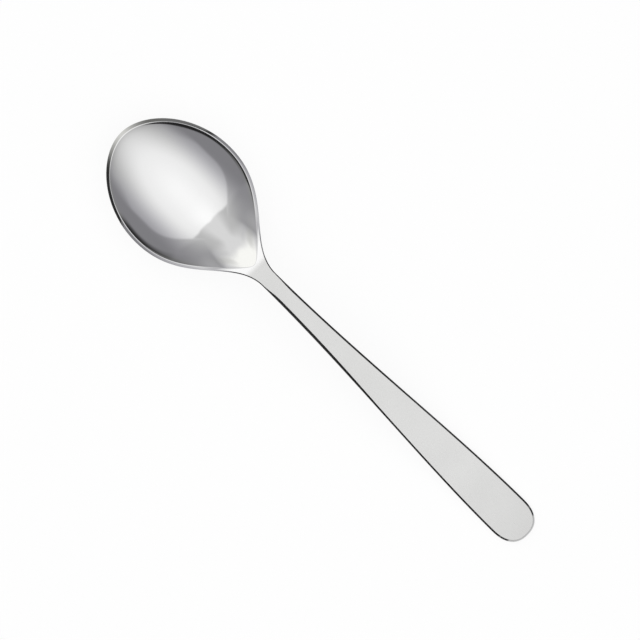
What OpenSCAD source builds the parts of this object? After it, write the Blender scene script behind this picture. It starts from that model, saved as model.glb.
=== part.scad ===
// Dessert spoon: one stamped and polished steel blank, in its two zones, the bowl and the handle.
// Stations run from the bowl's tip (0) to the handle's end (total_length).
// The tip points along +X, the hollow faces +Z, and the spoon lies on the plane Z = 0.

/* [Overall] */
// Length from the bowl's tip to the handle's end
total_length = 180; // [150:1:215]
// Width of the neck at its narrowest
neck_width = 5.8; // [5:0.1:8]
// Thickness of the neck at its narrowest
neck_thickness = 3; // [2.2:0.1:3.6]
// Station of the narrowest point of the neck, where bowl and handle meet
neck_at = 65.6; // [58:0.1:76]
// Height of the neck's upper face above the table
neck_height = 14.4; // [12.5:0.1:17]
// Rise of the neck along the spoon, as a slope
neck_slope = 0.2; // [0.1:0.01:0.3]

/* [Bowl] */
// Full width over the rim
bowl_width = 42.2; // [34:0.2:50]
// Station of the widest and deepest point
bowl_widest_at = 27.5; // [22:0.1:32]
// How far the tip stays blunt to either side
tip_full_length = 9.7; // [7:0.1:13]
// How far the front stays broad ahead of the widest point
tip_sweep_length = 15.75; // [10:0.25:20]
// How far the flank stays broad behind the widest point
flank_full_length = 20; // [14:0.5:25]
// How far ahead of the neck the flank sweeps in
flank_sweep_length = 12.9; // [8:0.1:18]
// Depth of the hollow below the rim
bowl_depth = 8.6; // [6:0.1:10]
// Easing of the hollow's wall beside the heel: 0 leaves it steep
flank_ease = 1.9; // [0:0.1:2.4]
// Wall at the deepest point
bowl_wall = 1.4; // [1:0.1:2]
// Wall at the rim
rim_wall = 1.7; // [1.3:0.1:2.1]
// How far the tip of the rim stands above its lowest point
tip_rise = 0.8; // [0:0.1:2]

/* [Rim] */
// Distance from the outline to the hollow's edge along the sides
rim_land = 1; // [0.95:0.05:1.6]
// Distance from the outline to the hollow's edge at the tip
tip_land = 1.3; // [1.25:0.05:2]
// Outward fall of the rim between the hollow's edge and the bevel, as a slope
rim_fall = 0.4; // [0:0.05:0.5]
// Width of the bevel on the rim's outer upper edge along the sides
rim_bevel = 0.8; // [0.4:0.05:0.85]
// Width of the bevel on the rim's outer upper edge at the tip
tip_bevel = 1.15; // [0.5:0.05:1.15]
// Length behind the widest point over which the bevel narrows to the neck's
bevel_fade_length = 15; // [8:1:30]
// Rounding of the rim's outer lower edge
rim_lower_round = 0.4; // [0.2:0.05:0.6]
// Softness of the edge between the land and the hollow
hollow_edge = 0.15; // [0.1:0.05:0.6]
// Steeper lip of the wall just below the rim, as a share of the depth
rim_lip = 0.013; // [0:0.001:0.02]
// Narrowness of that lip: more is narrower
lip_sharpness = 30; // [20:1:40]

/* [Heel] */
// Distance from the hollow's heel to the narrowest point of the neck
heel_setback = 6.5; // [5:0.25:9]
// Length over which the hollow's heel closes in a round end
heel_round = 6; // [2.5:0.25:8]
// How late the hollow's oval floor turns into the pear shape of its edge
pear_onset = 2; // [1.5:0.1:3]
// Distance ahead of the neck over which its underside swells out of the bowl
neck_swell = 21; // [14:0.5:26]
// Softness of the blend between the bowl's and the neck's undersides
underside_blend = 1.6; // [0.6:0.1:2.4]

/* [Handle] */
// Width of the handle at its widest
handle_width = 14.2; // [10:0.1:18]
// Distance from the handle's widest point to its end
end_length = 9; // [7:0.25:14]
// Squareness of the rounded end: 2 is elliptical, more is squarer
end_squareness = 2.4; // [2:0.05:3]
// How far the handle stays slim behind the neck
flare_start_length = 39; // [20:0.5:42]
// How far ahead of its widest point the handle stays broad
flare_end_length = 33; // [18:0.5:38]
// Thickness of the handle's end
tail_thickness = 2; // [1.5:0.1:2.6]
// Length of the handle's end that lies flat on the table
tail_flat = 9; // [5:0.5:14]

/* [Edges] */
// Width of the bevel on the neck's upper edges
neck_bevel = 0.35; // [0.2:0.05:0.6]
// Width of the bevel on the handle's upper edges
handle_bevel = 0.65; // [0.3:0.05:0.9]
// Length behind the neck over which the bevel grows to that width
bevel_growth_length = 8; // [5:1:30]
// Slope of all bevels
bevel_slope = 0.95; // [0.6:0.01:1.1]
// Softness of all bevels: more is rounder
bevel_softness = 0.015; // [0.005:0.005:0.3]
// Rounding of the handle's lower edges
handle_lower_round = 1; // [0.5:0.05:1.2]

/* [Hidden] */
// Steps of the loft: round the bowl's front, along its flank, and along the handle and its end
front_steps = 24;
flank_steps = 26;
flare_steps = 50;
end_steps = 14;
// Rings of the hollow, and steps across each bevel and rounded edge
hollow_rings = 16;
round_steps = 4;
// Halvings in the search for a station on a curve
search_halvings = 30;

steel = [0.77, 0.78, 0.79];
half_bowl = bowl_width / 2;
half_neck = neck_width / 2;
half_handle = handle_width / 2;
heel_at = neck_at - heel_setback;
belly_height = bowl_depth + bowl_wall;
handle_widest_at = total_length - end_length;
tail_at = total_length - tail_flat;
half_columns = front_steps + flank_steps + 1;
handle_columns = flare_steps + end_steps;
// Distance from the loft's middle line to the handle's end
spine_gap = end_length / 2;

// Curves
function mix(a, b, t) = a + (b - a) * t;
function ease(t) = let (u = min(max(t, 0), 1)) u * u * (3 - 2 * u);
function unit(v) = v / norm(v);
function quadratic(a, b, c, t) = (1 - t) * (1 - t) * a + 2 * t * (1 - t) * b + t * t * c;
function conic(a, b, c, weight, t) =
    let (first = (1 - t) * (1 - t), second = 2 * weight * t * (1 - t), third = t * t)
    (first * a + second * b + third * c) / (first + second + third);
function bezier(p, t) =
    let (u = 1 - t)
    u * u * u * p[0] + 3 * u * u * t * p[1] + 3 * u * t * t * p[2] + t * t * t * p[3];
function bezier_rate(p, t) =
    let (u = 1 - t)
    3 * u * u * (p[1] - p[0]) + 6 * u * t * (p[2] - p[1]) + 3 * t * t * (p[3] - p[2]);
function bezier_find(p, s, low = 0, high = 1, halvings = search_halvings) =
    let (middle = (low + high) / 2)
    halvings <= 0 ? middle
    : bezier(p, middle)[0] < s ? bezier_find(p, s, middle, high, halvings - 1)
    : bezier_find(p, s, low, middle, halvings - 1);
function hermite(s, s0, z0, m0, s1, z1, m1) =
    let (d = s1 - s0, u = (s - s0) / d, v = 1 - u)
    z0 * v * v * (1 + 2 * u) + m0 * d * u * v * v + z1 * u * u * (3 - 2 * u) - m1 * d * u * u * v;
function soft_max(a, b, k) = max(a, b) + pow(max(k - abs(a - b), 0), 2) / (4 * k);

// The plan outline, as a point and its inward normal on the +Y side
front_curve = [
    [0, 0],
    [0, tip_full_length],
    [bowl_widest_at - tip_sweep_length, half_bowl],
    [bowl_widest_at, half_bowl]
];
flank_curve = [
    [bowl_widest_at, half_bowl],
    [bowl_widest_at + flank_full_length, half_bowl],
    [neck_at - flank_sweep_length, half_neck],
    [neck_at, half_neck]
];
flare_curve = [
    [neck_at, half_neck],
    [neck_at + flare_start_length, half_neck],
    [handle_widest_at - flare_end_length, half_handle],
    [handle_widest_at, half_handle]
];
function on_curve(p, t) =
    let (rate = bezier_rate(p, t))
    [bezier(p, t), unit([rate[1], -rate[0]])];
function on_end(angle) =
    let (n = end_squareness, a = pow(sin(angle), 2 / n), b = pow(cos(angle), 2 / n))
    [
        [handle_widest_at + end_length * a, half_handle * b],
        unit([-pow(a, n - 1) / end_length, -pow(b, n - 1) / half_handle])
    ];

// The side view: height of the upper edge above the table, and thickness of the edge
function edge_height(s) =
    s < bowl_widest_at
    ? belly_height + tip_rise * pow(1 - s / bowl_widest_at, 2)
    : s < neck_at
    ? hermite(s, bowl_widest_at, belly_height, 0, neck_at, neck_height, neck_slope)
    : s < tail_at
    ? hermite(s, neck_at, neck_height, neck_slope, tail_at, tail_thickness, 0)
    : tail_thickness;
function stem_thickness(s) =
    s < neck_at
    ? neck_thickness * ease(1 - (neck_at - s) / neck_swell)
    : mix(neck_thickness, tail_thickness, ease((s - neck_at) / (tail_at - neck_at)));
function flank_share(s) = ease((s - bowl_widest_at) / (neck_at - bowl_widest_at));
function bevel_width(s) =
    s < bowl_widest_at
    ? mix(tip_bevel, rim_bevel, ease(s / bowl_widest_at))
    : s < neck_at
    ? mix(rim_bevel, neck_bevel, ease((s - bowl_widest_at) / bevel_fade_length))
    : mix(neck_bevel, handle_bevel, ease((s - neck_at) / bevel_growth_length));
function lower_round(s) = mix(rim_lower_round, handle_lower_round, flank_share(s));
function place(p, z) = [total_length / 2 - p[0], p[1], z];

// The edge of the hollow: the outline moved in by the land, and closed by a round heel.
// The floor's rings are ovals in the middle and take on the edge's pear shape towards it.
centre = [bowl_widest_at, 0];
hollow_shrink = [(bowl_widest_at - tip_land) / bowl_widest_at, (half_bowl - rim_land) / half_bowl];
hollow_front_curve = [
    for (p = front_curve)
        [mix(bowl_widest_at, p[0], hollow_shrink[0]), p[1] * hollow_shrink[1]]
];
function front_turn(column) = 90 * column / front_steps;
function flank_turn(column) = 90 * (column - front_steps) / (flank_steps + 1);
function hollow_front(s) = bezier(hollow_front_curve, bezier_find(hollow_front_curve, s));
function hollow_flank(s) =
    let (
        t = bezier_find(flank_curve, s),
        rate = bezier_rate(flank_curve, t),
        inset = rim_land * norm(rate) / rate[0],
        closing = max((s - heel_at + heel_round) / heel_round, 0)
    )
    [s, (bezier(flank_curve, t)[1] - inset) * sqrt(max(1 - closing * closing, 0))];
function hollow_edge_at(column) =
    column <= front_steps
    ? hollow_front(mix(bowl_widest_at, tip_land, cos(front_turn(column))))
    : column == half_columns
    ? [heel_at, 0]
    : hollow_flank(mix(bowl_widest_at, heel_at, sin(flank_turn(column))));
function ring_point(column, rim, reach) =
    let (
        turn = column <= front_steps ? 90 - front_turn(column) : flank_turn(column),
        oval = (half_bowl - rim_land) * cos(turn),
        pear = pow(reach, pear_onset)
    )
    [mix(bowl_widest_at, rim[0], reach), reach * mix(oval, rim[1], pear)];
function bowl_outline_at(column) =
    column <= front_steps
    ? on_curve(front_curve, bezier_find(front_curve, bowl_widest_at * (1 - cos(front_turn(column)))))
    : on_curve(flank_curve, (column - front_steps) / flank_steps);

// Drop of the upper and lower faces below the edge, at reach 0 in the centre and 1 on the hollow's edge
function wall_ease(column) =
    let (turn = flank_turn(max(column, front_steps)))
    flank_ease * pow(sin(turn), 3) * pow(cos(turn), 1.5);
function wall_lip(column) = rim_lip * pow(cos(flank_turn(max(column, front_steps))), 2);
function ring_reach(ring) = sin(90 * ring / hollow_rings);
function hollow_drop(reach, eased) =
    bowl_depth * (1 - pow(reach, 2) - eased * (pow(reach, 4) - pow(reach, 6)));
function upper_drop(reach, eased, lip) =
    let (lip_drop = bowl_depth * (1 - pow(reach, lip_sharpness)))
    soft_max(mix(hollow_drop(reach, eased), lip_drop, lip), 0, hollow_edge);
function lower_drop(p, reach, radius, eased) =
    let (
        rate = 2 * reach + eased * (4 * pow(reach, 3) - 6 * pow(reach, 5)),
        steepness = bowl_depth * rate / radius,
        wall = mix(bowl_wall, rim_wall, reach * reach) * sqrt(1 + steepness * steepness)
    )
    soft_max(hollow_drop(reach, eased) + wall, stem_thickness(p[0]), underside_blend);

// Points on one side of the spoon, from the middle of the upper face round the edge to the underside
function edge_points(edge, top, drop_at) =
    let (
        bevel = bevel_width(edge[0][0]),
        lower = lower_round(edge[0][0]),
        corner = drop_at(edge[0]),
        side = top + bevel_slope * bevel,
        last = drop_at(edge[0] + lower * edge[1])
    )
    concat(
        [for (i = [1:round_steps])
            let (t = i / round_steps, p = edge[0] + conic(bevel, 0, 0, bevel_softness, t) * edge[1])
            place(p, edge_height(p[0]) - conic(top, top, side, bevel_softness, t))],
        [for (i = [1:round_steps - 1])
            let (t = i / round_steps, p = edge[0] + quadratic(0, 0, lower, t) * edge[1])
            place(p, edge_height(p[0]) - quadratic(side, corner, last, t))]
    );
function joint_points(count) = [
    for (i = [1:count])
        place([neck_at, 0], neck_height - neck_thickness * i / (count + 1))
];
function bowl_column(column) =
    let (
        rim = hollow_edge_at(column),
        radius = norm(rim - centre),
        eased = wall_ease(column),
        lip = wall_lip(column),
        at_joint = column == half_columns,
        edge = at_joint ? [[neck_at, 0], [0, 0]] : bowl_outline_at(column),
        fall = rim_fall * (1 - flank_share(edge[0][0])),
        reach_of = function (p) norm(p - centre) / radius,
        land_drop = function (p) upper_drop(reach_of(p), eased, lip) + fall * (rim - p) * edge[1],
        drop_at = function (p) lower_drop(p, reach_of(p), radius, eased),
        upper = edge[0] + bevel_width(edge[0][0]) * edge[1],
        lower = edge[0] + lower_round(edge[0][0]) * edge[1],
        land_share = 0.5
    )
    concat(
        [for (ring = [1:hollow_rings])
            let (reach = ring_reach(ring), p = ring_point(column, rim, reach))
            place(p, edge_height(p[0]) - upper_drop(reach, eased, lip))],
        [for (p = [mix(rim, upper, land_share), upper])
            place(p, edge_height(p[0]) - land_drop(p))],
        at_joint ? joint_points(2 * round_steps - 1) : edge_points(edge, land_drop(upper), drop_at),
        [for (p = [lower, mix(rim, lower, land_share)])
            place(p, edge_height(p[0]) - drop_at(p))],
        [for (ring = [hollow_rings:-1:1])
            let (reach = ring_reach(ring), p = ring_point(column, rim, reach))
            place(p, edge_height(p[0]) - lower_drop(p, reach, radius, eased))]
    );
function handle_edge_at(column) =
    column <= flare_steps
    ? on_curve(flare_curve, column / flare_steps)
    : on_end(90 * (column - flare_steps) / end_steps);
function handle_column(column) =
    let (
        edge = handle_edge_at(column),
        drop_at = function (p) stem_thickness(p[0]),
        upper = edge[0] + bevel_width(edge[0][0]) * edge[1],
        lower = edge[0] + handle_lower_round * edge[1],
        past_widest = max(column - flare_steps, 0) / end_steps,
        spine_end = total_length - spine_gap,
        spine = [past_widest > 0 ? mix(handle_widest_at, spine_end, past_widest) : edge[0][0], 0]
    )
    concat(
        [for (p = [spine, upper]) place(p, edge_height(p[0]))],
        edge_points(edge, 0, drop_at),
        [for (p = [lower, spine]) place(p, edge_height(p[0]) - drop_at(p))]
    );
function mirrored(points) = [for (p = points) [p[0], -p[1], p[2]]];

// The bowl is a closed loft: columns run round it, between the middle of the hollow and of the underside
module bowl() {
    side = [for (c = [0:half_columns]) bowl_column(c)];
    loop = concat(side, [for (c = [half_columns - 1:-1:1]) mirrored(side[c])]);
    rows = len(side[0]);
    count = len(loop);
    poles = [
        place(centre, belly_height - bowl_depth),
        place(centre, belly_height - bowl_depth - bowl_wall)
    ];
    faces = [
        for (c = [0:count - 1])
            let (a = c * rows, b = (c + 1) % count * rows)
            each concat(
                [[count * rows, a, b]],
                [for (r = [0:rows - 2]) [a + r, a + r + 1, b + r + 1]],
                [for (r = [0:rows - 2]) [a + r, b + r + 1, b + r]],
                [[count * rows + 1, b + rows - 1, a + rows - 1]]
            )
    ];
    color(steel) polyhedron(concat([for (c = loop) each c], poles), faces);
}

// The handle is a closed loft of sections, from the joint face to the end, where both sides meet
module handle() {
    side = [for (c = [0:handle_columns]) handle_column(c)];
    half = len(side[0]);
    ring = 2 * half - 2;
    points = [
        for (c = [0:handle_columns])
            each c == handle_columns
            ? side[c]
            : concat(side[c], mirrored([for (r = [half - 2:-1:1]) side[c][r]]))
    ];
    at = function (c, r)
        let (k = r % ring)
        c * ring + (c == handle_columns && k >= half ? ring - k : k);
    middle = (half - 1) / 2;
    joint_half = concat(
        [for (r = [0:middle - 1]) [r, r + 1, half - 1 - r]],
        [for (r = [0:middle - 2]) [r + 1, half - 2 - r, half - 1 - r]]
    );
    across = function (r) (ring - r) % ring;
    faces = concat(
        joint_half,
        [for (f = joint_half) [across(f[0]), across(f[2]), across(f[1])]],
        [
            for (c = [0:handle_columns - 1], r = [0:ring - 1])
                each floor(2 * r / (half - 1)) % 2 == 0
                ? [
                    [at(c, r), at(c + 1, r), at(c, r + 1)],
                    [at(c + 1, r), at(c + 1, r + 1), at(c, r + 1)]
                ]
                : [
                    [at(c, r), at(c + 1, r), at(c + 1, r + 1)],
                    [at(c, r), at(c + 1, r + 1), at(c, r + 1)]
                ]
        ]
    );
    color(steel) polyhedron(points, faces);
}

bowl();
handle();
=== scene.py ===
"""Looks of the dessert spoon: its polished skin, a pale floor, a soft studio and the photograph's view."""
import math
from collections import namedtuple

import bpy
import numpy as np
from mathutils import Matrix, Vector


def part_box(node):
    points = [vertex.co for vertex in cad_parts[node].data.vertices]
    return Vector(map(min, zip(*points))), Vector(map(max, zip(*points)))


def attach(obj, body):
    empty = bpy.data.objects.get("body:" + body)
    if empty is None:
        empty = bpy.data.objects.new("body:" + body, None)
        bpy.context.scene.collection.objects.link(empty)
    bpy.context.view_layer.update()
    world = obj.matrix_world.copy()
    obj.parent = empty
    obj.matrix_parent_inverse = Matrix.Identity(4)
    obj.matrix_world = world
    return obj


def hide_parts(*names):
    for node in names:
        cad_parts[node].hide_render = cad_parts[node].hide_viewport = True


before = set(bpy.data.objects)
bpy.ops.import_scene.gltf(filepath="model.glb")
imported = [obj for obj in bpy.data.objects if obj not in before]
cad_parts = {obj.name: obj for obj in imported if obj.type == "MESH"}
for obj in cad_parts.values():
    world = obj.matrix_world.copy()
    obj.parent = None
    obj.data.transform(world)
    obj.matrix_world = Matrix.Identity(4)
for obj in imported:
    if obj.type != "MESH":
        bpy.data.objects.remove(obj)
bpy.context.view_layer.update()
MM = 0.001

# A smooth change of a value: where it starts and ends, and the value before and after
Fade = namedtuple("Fade", "start end before after", defaults=(0.0, 1.0))

# Sizes read from the frame
bowl_low, bowl_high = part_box("bowl")
handle_low, handle_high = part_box("handle")
TIP_X = bowl_high[0]
TOTAL_LENGTH = TIP_X - handle_low[0]
NECK_AT = TIP_X - bowl_low[0]
HALF_BOWL = bowl_high[1]
HALF_HANDLE = handle_high[1]

# Sizes of the bowl, its rim and its heel
BOWL_WIDEST_AT = 27.5 * MM
TIP_FULL_LENGTH = 9.7 * MM
TIP_SWEEP_LENGTH = 15.75 * MM
BOWL_DEPTH = 8.6 * MM
FLANK_EASE = 1.9
FLANK_EASE_ONSET = 3
FLANK_EASE_ENDING = 1.5
RIM_LIP = 0.013
LIP_SHARPNESS = 30
BOWL_WALL = 1.4 * MM
RIM_WALL = 1.7 * MM
TIP_RISE = 0.8 * MM
FLANK_FULL_LENGTH = 20 * MM
FLANK_SWEEP_LENGTH = 12.9 * MM
RIM_LAND = 1 * MM
TIP_LAND = 1.3 * MM
RIM_FALL = 0.4
RIM_BEVEL = 0.8 * MM
TIP_BEVEL = 1.15 * MM
BEVEL_FADE_LENGTH = 15 * MM
RIM_LOWER_ROUND = 0.4 * MM
HOLLOW_EDGE = 0.15 * MM
BEVEL_SLOPE = 0.95
BEVEL_SOFTNESS = 0.015
HEEL_AT = NECK_AT - 6.5 * MM
HEEL_ROUND = 6 * MM
PEAR_ONSET = 2
NECK_SWELL = 21 * MM
UNDERSIDE_BLEND = 1.6 * MM

# Along the photographed bowl's sides, land and bevel are nearly one soft slope
SIDE_FALL = 0.58
SIDE_BEVEL_SLOPE = 0.62
SIDE_RIM_START = 17 * MM
SIDE_RIM_FULL = 27 * MM
SIDE_RIM_LAST = 51 * MM
SIDE_RIM_END = 57 * MM

# Sizes of the neck and the handle
HALF_NECK = 2.9 * MM
NECK_THICKNESS = 3 * MM
NECK_HEIGHT = 14.4 * MM
NECK_SLOPE = 0.2
END_LENGTH = 9 * MM
END_SQUARENESS = 2.4
FLARE_START_LENGTH = 39 * MM
FLARE_END_LENGTH = 33 * MM
TAIL_THICKNESS = 2 * MM
TAIL_FLAT = 9 * MM
NECK_BEVEL = 0.35 * MM
HANDLE_BEVEL = 0.65 * MM
BEVEL_GROWTH_LENGTH = 8 * MM
HANDLE_LOWER_ROUND = 1 * MM

# The photographed stem has a wider bevel along its +Y edge
WIDE_BEVEL_EXTRA = 0.28 * MM
WIDE_BEVEL_START = NECK_AT
WIDE_BEVEL_FULL = 71 * MM
WIDE_BEVEL_LAST = 90 * MM
WIDE_BEVEL_END = 124 * MM

# Fineness of the skin
FRONT_STEPS = 64
FLANK_STEPS = 84
FLARE_STEPS = 120
END_STEPS = 40
HOLLOW_RINGS = 56
LAND_STEPS = 6
ROUND_STEPS = 10
FIND_STEPS = 40
SAME_POINT = 0.0001 * MM

# Counts and sizes that follow from the others
HALF_COLUMNS = FRONT_STEPS + FLANK_STEPS + 1
HANDLE_COLUMNS = FLARE_STEPS + END_STEPS
BELLY_HEIGHT = BOWL_DEPTH + BOWL_WALL
HANDLE_WIDEST_AT = TOTAL_LENGTH - END_LENGTH
TAIL_AT = TOTAL_LENGTH - TAIL_FLAT
SPINE_END = TOTAL_LENGTH - END_LENGTH / 2
CENTRE = np.array([BOWL_WIDEST_AT, 0.0])

# The steel's two finishes. A tone or a roughness that varies fades over the value of a noise
MIRROR_TONE = 0.78
MIRROR_ROUGHNESS = Fade(0.3, 0.7, 0.035, 0.06)
MIRROR_GRAIN = 0.02
SATIN_TONE = Fade(0.3, 0.7, 0.62, 0.65)
SATIN_ROUGHNESS = Fade(0.3, 0.7, 0.26, 0.34)
SATIN_PATCHES = Fade(0.3, 0.7, 0.98, 1.02)
SATIN_GRAIN = 0.25
SATIN_BLUE = 0.99
GRAIN_STRETCH = (60, 2500, 2500)
GRAIN_NOISE = {"Scale": 3.0, "Detail": 4.0, "Roughness": 0.6}
GRAIN_DEPTH = 0.003 * MM
PATCH_NOISE = {"Scale": 60.0, "Detail": 3.0, "Roughness": 0.5}

# Satin lies on flat faces from the heel on. Along the handle its tone carries painted shade: palest in the
# middle, darker towards the neck and the end
FLAT_FACE = Fade(0.93, 0.975)
SATIN_FROM = Fade(58.5 * MM, 61 * MM)
PAINTED_PALER_FROM_NECK = Fade(76 * MM, 118 * MM, 0.955, 1.02)
PAINTED_DARKER_TO_END = Fade(146 * MM, 176 * MM, 1.0, 0.91)

# The floor, in metres and shares of white
FLOOR_REACH = 6.0
FLOOR_GLOW = 0.851
FLOOR_MATTE = 0.16

# The tent, in metres. Its light is in shares of white, over angles in degrees
TENT_RADIUS = 1.5
TENT_CENTRE = (0.03, 0, 0)
TENT_BANDS = 24
TENT_TURNS = 72
LEAST_LEVEL = 0.0001

# The overhead panel: its light over the spread from its middle, and where it ends
PANEL_MIDDLE = Fade(0, 42, 0.43, 0.28)
PANEL_BORDER = Fade(30, 68, 0.77, 0.12)
PANEL_SPREAD_TAILWARD = 0.48
PANEL_REACH_TIPWARD = 1.3
PANEL_EDGE_START = Fade(-46, -18, 47, 60.5)
PANEL_EDGE_END = 64.5
OUTSIDE_PANEL = 0.68
BRIGHT_END = Fade(8, 32, 0.05, 0.0)
BRIGHT_END_FROM = Fade(12, 30)

# The panel's end towards the tip, and the wall beyond it
PANEL_END = Fade(32.7, 35.2)
PANEL_END_BOW = Fade(7, 85, 0.0, 20)
OUTSIDE_END = Fade(41, 47.5)
WALL_SIDES = Fade(33, 60, 0.61, 0.325)
WALL_MIDDLE = Fade(13, 35, 0.25, 0.0)
WALL_MIDDLE_WIDENS = Fade(50, 61.5, 0.0, 23)

# The low light beyond the wall
LOW_LIGHT = Fade(43, 48.5, 1.2, 0.56)
LOW_LIGHT_FROM = Fade(58, 62.5)
LOW_LIGHT_BOW = Fade(10, 47, 0.0, 2)

# The dark low on the +Y side, with a crisp edge
PLUS_DARK = 0.02
PLUS_DARK_FROM = Fade(55, 100)
PLUS_DARK_TO = Fade(142, 160, 1.0, 0.0)
PLUS_DARK_EDGE = Fade(78.5, 81)
PLUS_DARK_RISES = Fade(95, 125, 0.0, 3)

# The dark low on the -Y side, with a soft edge
MINUS_DARK = 0.03
MINUS_DARK_FROM = Fade(36, 92)
MINUS_DARK_TO = Fade(95, 110, 1.0, 0.0)
MINUS_DARK_LONGER = Fade(84.5, 86, 0.0, 6)
MINUS_DARK_EDGE = Fade(79.5, 83)
MINUS_DIM = Fade(75, 80, 0.0, 0.7)

# The skirt round the table, which is higher at the tip
SKIRT_EDGE = Fade(85, 86.5)
TIP_ZONE = Fade(15, 60, 1.0, 0.0)
TIP_SKIRT_RISE = 8
TIP_LIGHT = 0.8
PLUS_SKIRT = 0.03
PLUS_SKIRT_FROM = Fade(0, 44)
PLUS_SKIRT_TO = Fade(94, 102, 1.0, 0.0)
PLUS_SKIRT_RISES = Fade(52, 60, 0.0, 2)
MINUS_SKIRT = 0.18
MINUS_SKIRT_FROM = Fade(0, 36)
MINUS_SKIRT_TO = Fade(76, 82, 1.0, 0.0)
BEHIND_LIGHT = 0.6
BEHIND_FROM = Fade(104, 110)
CORNER_DARK = 0.03
CORNER_TO = Fade(122, 129)
CORNER_EDGE = Fade(85.6, 86.6)

# Tints of the tent, as red, green and blue
COOL_TINT = (0.97, 0.96, 1.02)
COOL_FROM = Fade(35, 65)
COOL_TO = Fade(78, 84, 1.0, 0.0)
WARM_BLUE = 0.965

# The camera, straight above the spoon. Its sensor is in millimetres and its roll in degrees
LENS_DISTANCE = 2.5
FRAME_WIDTH = 200.9 * MM
SENSOR_WIDTH = 36.0
CLIP_END = 20.0
CAMERA_ROLL = 224.62
CAMERA_AIM = (4.15 * MM, -2.2 * MM, 10 * MM)


# Curves

def mix(a, b, t):
    return a + (b - a) * t


def ease(t):
    """Smooth step from 0 to 1."""
    u = min(max(t, 0.0), 1.0)
    return u * u * (3 - 2 * u)


def unit(v):
    return v / np.linalg.norm(v)


def quadratic(a, b, c, t):
    """A curve from a to c that leaves and arrives in the direction of b."""
    return (1 - t) ** 2 * a + 2 * t * (1 - t) * b + t * t * c


def conic(a, b, c, weight, t):
    """A curve from a to c that a larger weight pulls towards b."""
    share = 2 * weight * t * (1 - t)
    return ((1 - t) ** 2 * a + share * b + t * t * c) / ((1 - t) ** 2 + share + t * t)


def bezier(p, t):
    u = 1 - t
    return u ** 3 * p[0] + 3 * u * u * t * p[1] + 3 * u * t * t * p[2] + t ** 3 * p[3]


def bezier_rate(p, t):
    u = 1 - t
    return 3 * u * u * (p[1] - p[0]) + 6 * u * t * (p[2] - p[1]) + 3 * t * t * (p[3] - p[2])


def bezier_find(p, s):
    """The share of a curve at which it reaches station s."""
    low, high = 0.0, 1.0
    for _ in range(FIND_STEPS):
        middle = (low + high) / 2
        if bezier(p, middle)[0] < s:
            low = middle
        else:
            high = middle
    return (low + high) / 2


def hermite(s, s0, z0, m0, s1, z1, m1):
    """Height at s of a cubic with height z and slope m at both ends."""
    d = s1 - s0
    u = (s - s0) / d
    v = 1 - u
    return z0 * v * v * (1 + 2 * u) + m0 * d * u * v * v + z1 * u * u * (3 - 2 * u) - m1 * d * u * u * v


def soft_max(a, b, k):
    """The larger of two numbers, blended where they differ by less than k."""
    return max(a, b) + max(k - abs(a - b), 0.0) ** 2 / (4 * k)


# The plan outline, as a point and its inward normal on the +Y side. Stations run from the bowl's tip

FRONT_CURVE = np.array([
    [0.0, 0.0],
    [0.0, TIP_FULL_LENGTH],
    [BOWL_WIDEST_AT - TIP_SWEEP_LENGTH, HALF_BOWL],
    [BOWL_WIDEST_AT, HALF_BOWL],
])
FLANK_CURVE = np.array([
    [BOWL_WIDEST_AT, HALF_BOWL],
    [BOWL_WIDEST_AT + FLANK_FULL_LENGTH, HALF_BOWL],
    [NECK_AT - FLANK_SWEEP_LENGTH, HALF_NECK],
    [NECK_AT, HALF_NECK],
])
FLARE_CURVE = np.array([
    [NECK_AT, HALF_NECK],
    [NECK_AT + FLARE_START_LENGTH, HALF_NECK],
    [HANDLE_WIDEST_AT - FLARE_END_LENGTH, HALF_HANDLE],
    [HANDLE_WIDEST_AT, HALF_HANDLE],
])


def on_curve(p, t):
    rate = bezier_rate(p, t)
    return bezier(p, t), unit(np.array([rate[1], -rate[0]]))


def on_end(share):
    """The handle's round end, from its widest point at share 0 to its middle line at share 1."""
    n = END_SQUARENESS
    a, b = 1.0, 0.0
    if share < 1:
        a = math.sin(math.pi / 2 * share) ** (2 / n)
        b = math.cos(math.pi / 2 * share) ** (2 / n)
    point = np.array([HANDLE_WIDEST_AT + END_LENGTH * a, HALF_HANDLE * b])
    return point, unit(np.array([-a ** (n - 1) / END_LENGTH, -b ** (n - 1) / HALF_HANDLE]))


# The side view: height of the upper edge above the table, and thickness of the edge

def edge_height(s):
    if s < BOWL_WIDEST_AT:
        return BELLY_HEIGHT + TIP_RISE * (1 - s / BOWL_WIDEST_AT) ** 2
    if s < NECK_AT:
        return hermite(s, BOWL_WIDEST_AT, BELLY_HEIGHT, 0, NECK_AT, NECK_HEIGHT, NECK_SLOPE)
    if s < TAIL_AT:
        return hermite(s, NECK_AT, NECK_HEIGHT, NECK_SLOPE, TAIL_AT, TAIL_THICKNESS, 0)
    return TAIL_THICKNESS


def stem_thickness(s):
    if s < NECK_AT:
        return NECK_THICKNESS * ease(1 - (NECK_AT - s) / NECK_SWELL)
    return mix(NECK_THICKNESS, TAIL_THICKNESS, ease((s - NECK_AT) / (TAIL_AT - NECK_AT)))


def flank_share(s):
    return ease((s - BOWL_WIDEST_AT) / (NECK_AT - BOWL_WIDEST_AT))


def bevel_width(s):
    if s < BOWL_WIDEST_AT:
        return mix(TIP_BEVEL, RIM_BEVEL, ease(s / BOWL_WIDEST_AT))
    if s < NECK_AT:
        return mix(RIM_BEVEL, NECK_BEVEL, ease((s - BOWL_WIDEST_AT) / BEVEL_FADE_LENGTH))
    return mix(NECK_BEVEL, HANDLE_BEVEL, ease((s - NECK_AT) / BEVEL_GROWTH_LENGTH))


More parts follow.
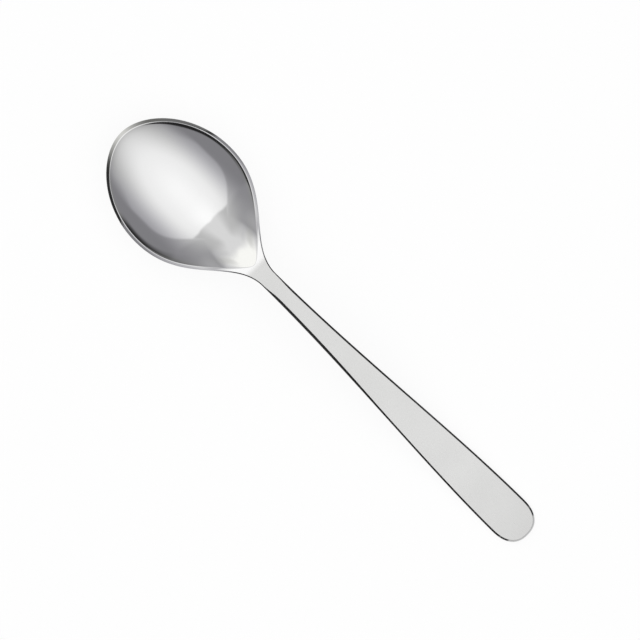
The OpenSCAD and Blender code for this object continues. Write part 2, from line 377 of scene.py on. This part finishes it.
def wide_bevel_width(s):
    """Width of the bevel along the stem's +Y edge."""
    onset = ease((s - WIDE_BEVEL_START) / (WIDE_BEVEL_FULL - WIDE_BEVEL_START))
    ending = ease((s - WIDE_BEVEL_LAST) / (WIDE_BEVEL_END - WIDE_BEVEL_LAST))
    return bevel_width(s) + WIDE_BEVEL_EXTRA * onset * (1 - ending)


def rim_slope(s, at_tip, at_side, at_neck):
    """A slope that changes along the rim, from the tip to the sides and on to the neck."""
    side = ease((s - SIDE_RIM_START) / (SIDE_RIM_FULL - SIDE_RIM_START))
    neck = ease((s - SIDE_RIM_LAST) / (SIDE_RIM_END - SIDE_RIM_LAST))
    return mix(mix(at_tip, at_side, side), at_neck, neck)


def lower_round(s):
    return mix(RIM_LOWER_ROUND, HANDLE_LOWER_ROUND, flank_share(s))


def place(p, z):
    """The place in the frame of a point of the plan at height z."""
    return TIP_X - p[0], p[1], z


# The hollow: its edge is the outline moved in by the land and closed by a round heel

HOLLOW_SHRINK = np.array([
    (BOWL_WIDEST_AT - TIP_LAND) / BOWL_WIDEST_AT,
    (HALF_BOWL - RIM_LAND) / HALF_BOWL,
])
HOLLOW_FRONT_CURVE = CENTRE + (FRONT_CURVE - CENTRE) * HOLLOW_SHRINK


def front_turn(column):
    return math.pi / 2 * column / FRONT_STEPS


def flank_turn(column):
    return math.pi / 2 * (column - FRONT_STEPS) / (FLANK_STEPS + 1)


def hollow_edge_at(column):
    if column <= FRONT_STEPS:
        s = mix(BOWL_WIDEST_AT, TIP_LAND, math.cos(front_turn(column)))
        return bezier(HOLLOW_FRONT_CURVE, bezier_find(HOLLOW_FRONT_CURVE, s))
    if column == HALF_COLUMNS:
        return np.array([HEEL_AT, 0.0])
    s = mix(BOWL_WIDEST_AT, HEEL_AT, math.sin(flank_turn(column)))
    t = bezier_find(FLANK_CURVE, s)
    rate = bezier_rate(FLANK_CURVE, t)
    inset = RIM_LAND * np.linalg.norm(rate) / rate[0]
    closing = max((s - HEEL_AT + HEEL_ROUND) / HEEL_ROUND, 0.0)
    return np.array([s, (bezier(FLANK_CURVE, t)[1] - inset) * math.sqrt(max(1 - closing ** 2, 0.0))])


def ring_point(column, rim, reach):
    """A point of the hollow in plan, on an oval near the middle and on the rim at reach 1."""
    turn = math.pi / 2 - front_turn(column) if column <= FRONT_STEPS else flank_turn(column)
    oval = (HALF_BOWL - RIM_LAND) * math.cos(turn)
    return np.array([
        mix(BOWL_WIDEST_AT, rim[0], reach),
        reach * mix(oval, rim[1], reach ** PEAR_ONSET),
    ])


def bowl_outline_at(column):
    if column <= FRONT_STEPS:
        s = mix(BOWL_WIDEST_AT, 0.0, math.cos(front_turn(column)))
        return on_curve(FRONT_CURVE, bezier_find(FRONT_CURVE, s))
    return on_curve(FLANK_CURVE, (column - FRONT_STEPS) / FLANK_STEPS)


def wall_ease(column):
    """How much the hollow's flank is eased: nothing at its widest point and at the heel."""
    turn = flank_turn(max(column, FRONT_STEPS))
    return FLANK_EASE * math.sin(turn) ** FLANK_EASE_ONSET * max(math.cos(turn), 0.0) ** FLANK_EASE_ENDING


def wall_lip(column):
    """Share of the depth that is a steep lip at the hollow's edge, none at the heel."""
    return RIM_LIP * math.cos(flank_turn(max(column, FRONT_STEPS))) ** 2


def hollow_drop(reach, eased):
    """Drop of the hollow below the rim, from reach 0 in the middle to 1 at its edge."""
    return BOWL_DEPTH * (1 - reach ** 2 - eased * (reach ** 4 - reach ** 6))


def upper_drop(reach, eased, lip):
    """Drop of the upper face, with the lip, blended into the land."""
    drop = mix(hollow_drop(reach, eased), BOWL_DEPTH * (1 - reach ** LIP_SHARPNESS), lip)
    return soft_max(drop, 0.0, HOLLOW_EDGE)


def lower_drop(p, reach, radius, eased):
    """Drop of the underside, blended into the neck that swells out of it."""
    rate = 2 * reach + eased * (4 * reach ** 3 - 6 * reach ** 5)
    wall = mix(BOWL_WALL, RIM_WALL, reach ** 2) * math.sqrt(1 + (BOWL_DEPTH * rate / radius) ** 2)
    return soft_max(hollow_drop(reach, eased) + wall, stem_thickness(p[0]), UNDERSIDE_BLEND)


# Columns of points, from the middle of the upper face round the edge to the middle of the underside

def edge_points(edge, normal, bevel, top, drop_at):
    """The bevel down to the outline, and the round under it."""
    lower = lower_round(edge[0])
    corner = drop_at(edge)
    side = top + rim_slope(edge[0], BEVEL_SLOPE, SIDE_BEVEL_SLOPE, BEVEL_SLOPE) * bevel
    last = drop_at(edge + lower * normal)
    points = []
    for i in range(1, ROUND_STEPS + 1):
        t = i / ROUND_STEPS
        p = edge + conic(bevel, 0, 0, BEVEL_SOFTNESS, t) * normal
        points.append(place(p, edge_height(p[0]) - conic(top, top, side, BEVEL_SOFTNESS, t)))
    for i in range(1, ROUND_STEPS):
        t = i / ROUND_STEPS
        p = edge + quadratic(0, 0, lower, t) * normal
        points.append(place(p, edge_height(p[0]) - quadratic(side, corner, last, t)))
    return points


def joint_points(count):
    """Points down the middle of the joint across the neck."""
    axis = np.array([NECK_AT, 0.0])
    return [place(axis, NECK_HEIGHT - NECK_THICKNESS * i / (count + 1)) for i in range(1, count + 1)]


def bowl_column(column):
    rim = hollow_edge_at(column)
    radius = np.linalg.norm(rim - CENTRE)
    eased = wall_ease(column)
    lip = wall_lip(column)
    at_joint = column == HALF_COLUMNS
    edge, normal = (np.array([NECK_AT, 0.0]), np.zeros(2)) if at_joint else bowl_outline_at(column)
    fall = rim_slope(edge[0], RIM_FALL, SIDE_FALL, 0.0)

    def reach_of(p):
        return np.linalg.norm(p - CENTRE) / radius

    def land_drop(p):
        return upper_drop(reach_of(p), eased, lip) + fall * np.dot(rim - p, normal)

    def drop_at(p):
        return lower_drop(p, reach_of(p), radius, eased)

    upper = edge + bevel_width(edge[0]) * normal
    lower = edge + lower_round(edge[0]) * normal
    reaches = [math.sin(math.pi / 2 * ring / HOLLOW_RINGS) for ring in range(1, HOLLOW_RINGS + 1)]
    shares = [i / LAND_STEPS for i in range(1, LAND_STEPS + 1)]
    points = []
    for reach in reaches:
        p = ring_point(column, rim, reach)
        points.append(place(p, edge_height(p[0]) - upper_drop(reach, eased, lip)))
    for share in shares:
        p = mix(rim, upper, share)
        points.append(place(p, edge_height(p[0]) - land_drop(p)))
    if at_joint:
        points += joint_points(2 * ROUND_STEPS - 1)
    else:
        points += edge_points(edge, normal, bevel_width(edge[0]), land_drop(upper), drop_at)
    for share in reversed(shares):
        p = mix(rim, lower, share)
        points.append(place(p, edge_height(p[0]) - drop_at(p)))
    for reach in reversed(reaches):
        p = ring_point(column, rim, reach)
        points.append(place(p, edge_height(p[0]) - lower_drop(p, reach, radius, eased)))
    return points


def handle_column(column, width_at):
    if column <= FLARE_STEPS:
        edge, normal = on_curve(FLARE_CURVE, column / FLARE_STEPS)
        spine = np.array([edge[0], 0.0])
    else:
        share = (column - FLARE_STEPS) / END_STEPS
        edge, normal = on_end(share)
        spine = np.array([mix(HANDLE_WIDEST_AT, SPINE_END, share), 0.0])

    def drop_at(p):
        return stem_thickness(p[0])

    bevel = width_at(edge[0])
    upper = [place(p, edge_height(p[0])) for p in (spine, edge + bevel * normal)]
    lower_edge = edge + HANDLE_LOWER_ROUND * normal
    lower = [place(p, edge_height(p[0]) - drop_at(p)) for p in (lower_edge, spine)]
    return upper + edge_points(edge, normal, bevel, 0.0, drop_at) + lower


def mirrored(points):
    return [(x, -y, z) for x, y, z in points]


# Skins: points, faces, and which faces lie in the joint across the neck

def bowl_skin():
    side = [bowl_column(c) for c in range(HALF_COLUMNS + 1)]
    loop = side + [mirrored(side[c]) for c in range(HALF_COLUMNS - 1, 0, -1)]
    rows = len(side[0])
    count = len(loop)
    points = [p for column in loop for p in column]
    points.append(place(CENTRE, BELLY_HEIGHT - BOWL_DEPTH))
    points.append(place(CENTRE, 0.0))
    first_edge_row = HOLLOW_RINGS + LAND_STEPS - 1
    last_edge_row = first_edge_row + 2 * ROUND_STEPS
    skin, joint = [], []
    for c in range(count):
        a, b = c * rows, (c + 1) % count * rows
        skin.append((count * rows, a, b))
        skin.append((count * rows + 1, b + rows - 1, a + rows - 1))
        for r in range(rows - 1):
            in_joint = c in (HALF_COLUMNS - 1, HALF_COLUMNS) and first_edge_row <= r < last_edge_row
            faces = joint if in_joint else skin
            faces.append((a + r, a + r + 1, b + r + 1, b + r))
    return points, skin, joint


def handle_skin():
    side = [handle_column(c, bevel_width) for c in range(HANDLE_COLUMNS + 1)]
    wide_side = [handle_column(c, wide_bevel_width) for c in range(HANDLE_COLUMNS + 1)]
    half = len(side[0])
    ring = 2 * half - 2
    points = []
    for c in range(HANDLE_COLUMNS):
        points += wide_side[c] + mirrored(side[c][half - 2:0:-1])
    points += side[HANDLE_COLUMNS]

    def at(c, r):
        k = r % ring
        if c == HANDLE_COLUMNS and k >= half:
            k = ring - k
        return c * ring + k

    skin = []
    for c in range(HANDLE_COLUMNS):
        for r in range(ring):
            skin.append((at(c, r), at(c, r + 1), at(c + 1, r + 1), at(c + 1, r)))
    joint = [tuple(reversed(range(ring)))]
    return points, skin, joint


def skin_normals(skins):
    """Smooth normals of several skins at once, so that they agree where the skins meet."""
    total = {}
    keys = []
    for points, skin, _ in skins:
        own = [tuple(np.round(np.array(p) / SAME_POINT).astype(int)) for p in points]
        keys.append(own)
        co = np.array(points)
        for face in skin:
            diagonals = co[face[2]] - co[face[0]], co[face[-1]] - co[face[1]]
            if len(face) == 3:
                diagonals = co[face[1]] - co[face[0]], co[face[2]] - co[face[0]]
            normal = np.cross(*diagonals)
            for i in face:
                total[own[i]] = total.get(own[i], 0) + normal
    return [[unit(total[k]) if k in total else np.array([0, 0, 1.0]) for k in own] for own in keys]


def make_piece(name, points, skin, joint, normals, joint_normal):
    mesh = bpy.data.meshes.new(name)
    mesh.from_pydata(points, [], skin + joint)
    mesh.polygons.foreach_set("use_smooth", [True] * len(mesh.polygons))
    loops = []
    for polygon in mesh.polygons:
        flat = polygon.index >= len(skin)
        loops += [joint_normal if flat else normals[v] for v in polygon.vertices]
    mesh.normals_split_custom_set(loops)
    piece = bpy.data.objects.new(name, mesh)
    bpy.context.scene.collection.objects.link(piece)
    return piece


# Materials

class Graph:
    """Short calls for the nodes that a material or the world needs."""

    def __init__(self, owner):
        owner.use_nodes = True
        self.tree = owner.node_tree
        self.tree.nodes.clear()

    def node(self, kind, **inputs):
        made = self.tree.nodes.new(kind)
        for name, value in inputs.items():
            self.feed(made.inputs[name.replace("_", " ")], value)
        return made

    def feed(self, socket, value):
        """Link another node's output to a socket, or set the socket to a plain value."""
        if isinstance(value, bpy.types.NodeSocket):
            self.tree.links.new(value, socket)
        else:
            socket.default_value = value

    def math(self, operation, *values):
        made = self.tree.nodes.new("ShaderNodeMath")
        made.operation = operation
        for socket, value in zip(made.inputs, values):
            self.feed(socket, value)
        return made.outputs[0]

    def times(self, a, b):
        return self.math("MULTIPLY", a, b)

    def plus(self, a, b):
        return self.math("ADD", a, b)

    def minus(self, a, b):
        return self.math("SUBTRACT", a, b)

    def fade(self, value, fade):
        """The fade's value at a given value, smooth between its start and end."""
        made = self.tree.nodes.new("ShaderNodeMapRange")
        made.interpolation_type = "SMOOTHSTEP"
        names = ("From Min", "From Max", "To Min", "To Max")
        self.feed(made.inputs["Value"], value)
        for name, number in zip(names, fade):
            self.feed(made.inputs[name], number)
        return made.outputs["Result"]

    def fade_twice(self, value, one, other):
        """The product of two fades at a given value."""
        return self.times(self.fade(value, one), self.fade(value, other))

    def blend(self, a, b, share):
        """The number a where share is 0 and b where it is 1."""
        made = self.tree.nodes.new("ShaderNodeMix")
        # the node's sockets for plain numbers are 2 and 3, after the factor at 0
        for number, value in ((2, a), (3, b), (0, share)):
            self.feed(made.inputs[number], value)
        return made.outputs[0]


def steel(name):
    """Steel with a mirror polish in the bowl and on all edges, and a satin face on neck and handle."""
    material = bpy.data.materials.new(name)
    graph = Graph(material)
    coordinates = graph.node("ShaderNodeTexCoord")
    here = coordinates.outputs["Object"]
    x = graph.node("ShaderNodeSeparateXYZ", Vector=here).outputs[0]
    station = graph.minus(TIP_X, x)
    facing = graph.node("ShaderNodeSeparateXYZ", Vector=coordinates.outputs["Normal"]).outputs[2]
    flat = graph.fade(graph.math("ABSOLUTE", facing), FLAT_FACE)
    satin = graph.times(flat, graph.fade(station, SATIN_FROM))
    stretch = graph.node("ShaderNodeMapping", Vector=here, Scale=GRAIN_STRETCH)
    lines = graph.node("ShaderNodeTexNoise", Vector=stretch.outputs[0], **GRAIN_NOISE).outputs[0]
    clouds = graph.node("ShaderNodeTexNoise", Vector=here, **PATCH_NOISE).outputs[0]
    polish = graph.fade(clouds, MIRROR_ROUGHNESS)
    brushed = graph.fade(lines, SATIN_ROUGHNESS)
    # painted shade: the satin face is paler in the middle of the handle and darker towards the neck and the
    # end
    painted_shade_along_handle = graph.fade_twice(station, PAINTED_PALER_FROM_NECK, PAINTED_DARKER_TO_END)
    face = graph.times(graph.fade(lines, SATIN_TONE), graph.fade(clouds, SATIN_PATCHES))
    shade = graph.blend(MIRROR_TONE, graph.times(face, painted_shade_along_handle), satin)
    blue = graph.times(shade, graph.blend(1.0, SATIN_BLUE, satin))
    colour = graph.node("ShaderNodeCombineColor", Red=shade, Green=shade, Blue=blue)
    bump = graph.node("ShaderNodeBump", Height=lines, Distance=GRAIN_DEPTH)
    graph.feed(bump.inputs["Strength"], graph.blend(MIRROR_GRAIN, SATIN_GRAIN, satin))
    shine = graph.node("ShaderNodeBsdfPrincipled", Metallic=1.0, Base_Color=colour.outputs[0])
    graph.feed(shine.inputs["Roughness"], graph.blend(polish, brushed, satin))
    graph.feed(shine.inputs["Normal"], bump.outputs[0])
    graph.node("ShaderNodeOutputMaterial", Surface=shine.outputs[0])
    return material


# The studio

def floor():
    """A pale floor that looks white to the camera and in the steel, and keeps the spoon's shadow."""
    r = FLOOR_REACH
    mesh = bpy.data.meshes.new("floor")
    mesh.from_pydata([(-r, -r, 0), (r, -r, 0), (r, r, 0), (-r, r, 0)], [], [(0, 1, 2, 3)])
    plane = bpy.data.objects.new("floor", mesh)
    bpy.context.scene.collection.objects.link(plane)
    material = bpy.data.materials.new("pale_floor")
    graph = Graph(material)
    path = graph.node("ShaderNodeLightPath")
    seen = graph.plus(path.outputs["Is Camera Ray"], path.outputs["Is Glossy Ray"])
    seen = graph.plus(seen, path.outputs["Is Transmission Ray"])
    glow = graph.node("ShaderNodeEmission", Strength=graph.times(seen, FLOOR_GLOW))
    matte = graph.node("ShaderNodeBsdfDiffuse", Color=(FLOOR_MATTE, FLOOR_MATTE, FLOOR_MATTE, 1.0))
    both = graph.node("ShaderNodeAddShader")
    graph.feed(both.inputs[0], glow.outputs[0])
    graph.feed(both.inputs[1], matte.outputs[0])
    graph.node("ShaderNodeOutputMaterial", Surface=both.outputs[0])
    mesh.materials.append(material)


def dome_mesh():
    points = [(0.0, 0.0, TENT_RADIUS)]
    faces = []
    for band in range(1, TENT_BANDS + 1):
        lean = math.pi / 2 * band / TENT_BANDS
        for turn in range(TENT_TURNS):
            angle = 2 * math.pi * turn / TENT_TURNS
            points.append((
                TENT_RADIUS * math.sin(lean) * math.cos(angle),
                TENT_RADIUS * math.sin(lean) * math.sin(angle),
                TENT_RADIUS * math.cos(lean),
            ))
    for turn in range(TENT_TURNS):
        after = (turn + 1) % TENT_TURNS
        faces.append((0, 1 + after, 1 + turn))
        for band in range(1, TENT_BANDS):
            a = 1 + (band - 1) * TENT_TURNS
            b = 1 + band * TENT_TURNS
            faces.append((a + turn, a + after, b + after, b + turn))
    mesh = bpy.data.meshes.new("tent")
    mesh.from_pydata(points, [], faces)
    return mesh


class TentAngles:
    """Angles of a place in the tent, in degrees: the lean from the vertical, and the turn round it."""

    def __init__(self, graph):
        coordinates = graph.node("ShaderNodeTexCoord")
        x, y, z = graph.node("ShaderNodeSeparateXYZ", Vector=coordinates.outputs["Object"]).outputs
        self.lean = graph.math("DEGREES", graph.math("ARCCOSINE", graph.math("DIVIDE", z, TENT_RADIUS)))
        level = graph.math("SQRT", graph.plus(graph.times(x, x), graph.times(y, y)))
        per_level = graph.math("DIVIDE", self.lean, graph.math("MAXIMUM", level, LEAST_LEVEL))
        # the lean's shares towards the tip and to either side
        self.tipward = graph.times(x, per_level)
        self.sideways = graph.math("ABSOLUTE", graph.times(y, per_level))
        # the turn is counted from the tip: towards +Y, towards -Y, and either way
        self.plus_turn = graph.math("DEGREES", graph.math("ARCTAN2", y, x))
        self.minus_turn = graph.times(self.plus_turn, -1.0)
        self.turn = graph.math("ABSOLUTE", self.plus_turn)


def panel_light(graph, at):
    """The light of the round overhead panel, brightest in the middle, and the share inside its edge."""
    tailward = graph.math("MAXIMUM", graph.times(at.tipward, -1.0), 0.0)
    ahead = graph.math("MAXIMUM", at.tipward, 0.0)
    across = graph.times(at.sideways, at.sideways)
    spread = graph.plus(across, graph.times(graph.times(tailward, tailward), PANEL_SPREAD_TAILWARD))
    spread = graph.math("SQRT", spread)
    reach = graph.plus(across, graph.times(graph.times(ahead, ahead), PANEL_REACH_TIPWARD))
    edge = Fade(graph.fade(at.tipward, PANEL_EDGE_START), PANEL_EDGE_END, 1.0, 0.0)
    inside = graph.fade(graph.math("SQRT", reach), edge)
    light = graph.plus(graph.fade(spread, PANEL_MIDDLE), graph.fade(spread, PANEL_BORDER))
    light = graph.times(light, graph.blend(OUTSIDE_PANEL, 1.0, inside))
    bright_end = graph.times(graph.fade(spread, BRIGHT_END), graph.fade(at.tipward, BRIGHT_END_FROM))
    return graph.plus(light, bright_end), inside


def wall_light(graph, at):
    """The wall beyond the panel's end, with a pale middle that widens downwards."""
    off_middle = graph.minus(at.sideways, graph.fade(at.tipward, WALL_MIDDLE_WIDENS))
    return graph.plus(graph.fade(at.sideways, WALL_SIDES), graph.fade(off_middle, WALL_MIDDLE))


def past_panel_end(graph, at, inside):
    """0 on the panel and 1 on the wall."""
    bowed = graph.minus(at.tipward, graph.fade(at.sideways, PANEL_END_BOW))
    return graph.blend(graph.fade(at.tipward, OUTSIDE_END), graph.fade(bowed, PANEL_END), inside)


def past_wall(graph, at):
    """0 on the wall and 1 in the low light beyond it."""
    bowed = graph.minus(at.tipward, graph.fade(at.sideways, LOW_LIGHT_BOW))
    return graph.fade(bowed, LOW_LIGHT_FROM)


def darken_sides(graph, at, light):
    """Dark low at both sides."""
    longer = graph.minus(at.minus_turn, graph.fade(at.lean, MINUS_DARK_LONGER))
    minus_side = graph.times(graph.fade(at.minus_turn, MINUS_DARK_FROM), graph.fade(longer, MINUS_DARK_TO))
    dim = graph.times(minus_side, graph.fade(at.lean, MINUS_DIM))
    light = graph.times(light, graph.minus(1.0, dim))
    light = graph.blend(light, MINUS_DARK, graph.times(minus_side, graph.fade(at.lean, MINUS_DARK_EDGE)))
    plus_side = graph.fade_twice(at.plus_turn, PLUS_DARK_FROM, PLUS_DARK_TO)
    raised = graph.plus(at.lean, graph.fade(at.plus_turn, PLUS_DARK_RISES))
    return graph.blend(light, PLUS_DARK, graph.times(plus_side, graph.fade(raised, PLUS_DARK_EDGE)))


def add_skirt(graph, at, light):
    """Light at the tip and behind, dark on the tip's +Y side, grey on its -Y side, dark back corners."""
    tip = graph.fade(at.turn, TIP_ZONE)
    raised = graph.plus(at.lean, graph.times(tip, TIP_SKIRT_RISE))
    skirt = graph.fade(raised, SKIRT_EDGE)
    plus_skirt = graph.fade(graph.plus(raised, graph.fade(at.plus_turn, PLUS_SKIRT_RISES)), SKIRT_EDGE)
    plus_side = graph.fade_twice(at.plus_turn, PLUS_SKIRT_FROM, PLUS_SKIRT_TO)
    minus_side = graph.fade_twice(at.minus_turn, MINUS_SKIRT_FROM, MINUS_SKIRT_TO)
    behind = graph.fade(at.turn, BEHIND_FROM)
    corners = graph.minus(behind, graph.fade(at.turn, CORNER_TO))
    light = graph.blend(light, TIP_LIGHT, graph.times(tip, skirt))
    light = graph.blend(light, PLUS_SKIRT, graph.times(plus_side, plus_skirt))
    light = graph.blend(light, MINUS_SKIRT, graph.times(minus_side, skirt))
    light = graph.blend(light, BEHIND_LIGHT, graph.times(behind, skirt))
    return graph.blend(light, CORNER_DARK, graph.times(corners, graph.fade(at.lean, CORNER_EDGE)))


def tent_tint(graph, at, beyond):
    """A trace of blue in the sides, and of warmth in the low light."""
    cool = graph.times(graph.fade(at.sideways, COOL_FROM), graph.minus(1.0, beyond))
    cool = graph.times(cool, graph.fade(at.lean, COOL_TO))
    red, green, blue = [graph.blend(1.0, part, cool) for part in COOL_TINT]
    blue = graph.blend(blue, WARM_BLUE, beyond)
    return graph.node("ShaderNodeCombineColor", Red=red, Green=green, Blue=blue).outputs[0]


def tent():
    """A dome of light cloth over the spoon: bright above, grey towards the sides, dark low at the sides."""
    mesh = dome_mesh()
    dome = bpy.data.objects.new("tent", mesh)
    dome.location = TENT_CENTRE
    dome.visible_camera = False
    dome.visible_shadow = False
    bpy.context.scene.collection.objects.link(dome)
    material = bpy.data.materials.new("tent_cloth")
    graph = Graph(material)
    at = TentAngles(graph)
    panel, inside = panel_light(graph, at)
    light = graph.blend(panel, wall_light(graph, at), past_panel_end(graph, at, inside))
    beyond = past_wall(graph, at)
    light = graph.blend(light, graph.fade(at.sideways, LOW_LIGHT), beyond)
    light = darken_sides(graph, at, light)
    light = add_skirt(graph, at, light)
    glow = graph.node("ShaderNodeEmission", Strength=light, Color=tent_tint(graph, at, beyond))
    graph.node("ShaderNodeOutputMaterial", Surface=glow.outputs[0])
    mesh.materials.append(material)


def sky():
    world = bpy.data.worlds.new("white_room")
    bpy.context.scene.world = world
    graph = Graph(world)
    background = graph.node("ShaderNodeBackground", Strength=1.0)
    graph.node("ShaderNodeOutputWorld", Surface=background.outputs[0])


def camera():
    data = bpy.data.cameras.new("camera")
    data.sensor_width = SENSOR_WIDTH
    data.lens = SENSOR_WIDTH * LENS_DISTANCE / FRAME_WIDTH
    data.clip_end = CLIP_END
    eye = bpy.data.objects.new("camera", data)
    place_above = Matrix.Translation(Vector(CAMERA_AIM) + Vector((0, 0, LENS_DISTANCE)))
    eye.matrix_world = place_above @ Matrix.Rotation(math.radians(CAMERA_ROLL), 4, "Z")
    bpy.context.scene.collection.objects.link(eye)
    bpy.context.scene.camera = eye


# Making

skins = [bowl_skin(), handle_skin()]
normals = skin_normals(skins)
bowl = make_piece("bowl_skin", *skins[0], normals[0], np.array([-1.0, 0, 0]))
handle = make_piece("handle_skin", *skins[1], normals[1], np.array([1.0, 0, 0]))
bowl.data.materials.append(steel("mirror_steel"))
handle.data.materials.append(steel("satin_steel"))
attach(bowl, "root")
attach(handle, "root")
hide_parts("bowl")
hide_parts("handle")

floor()
tent()
sky()
camera()
bpy.context.scene.view_settings.view_transform = "Standard"
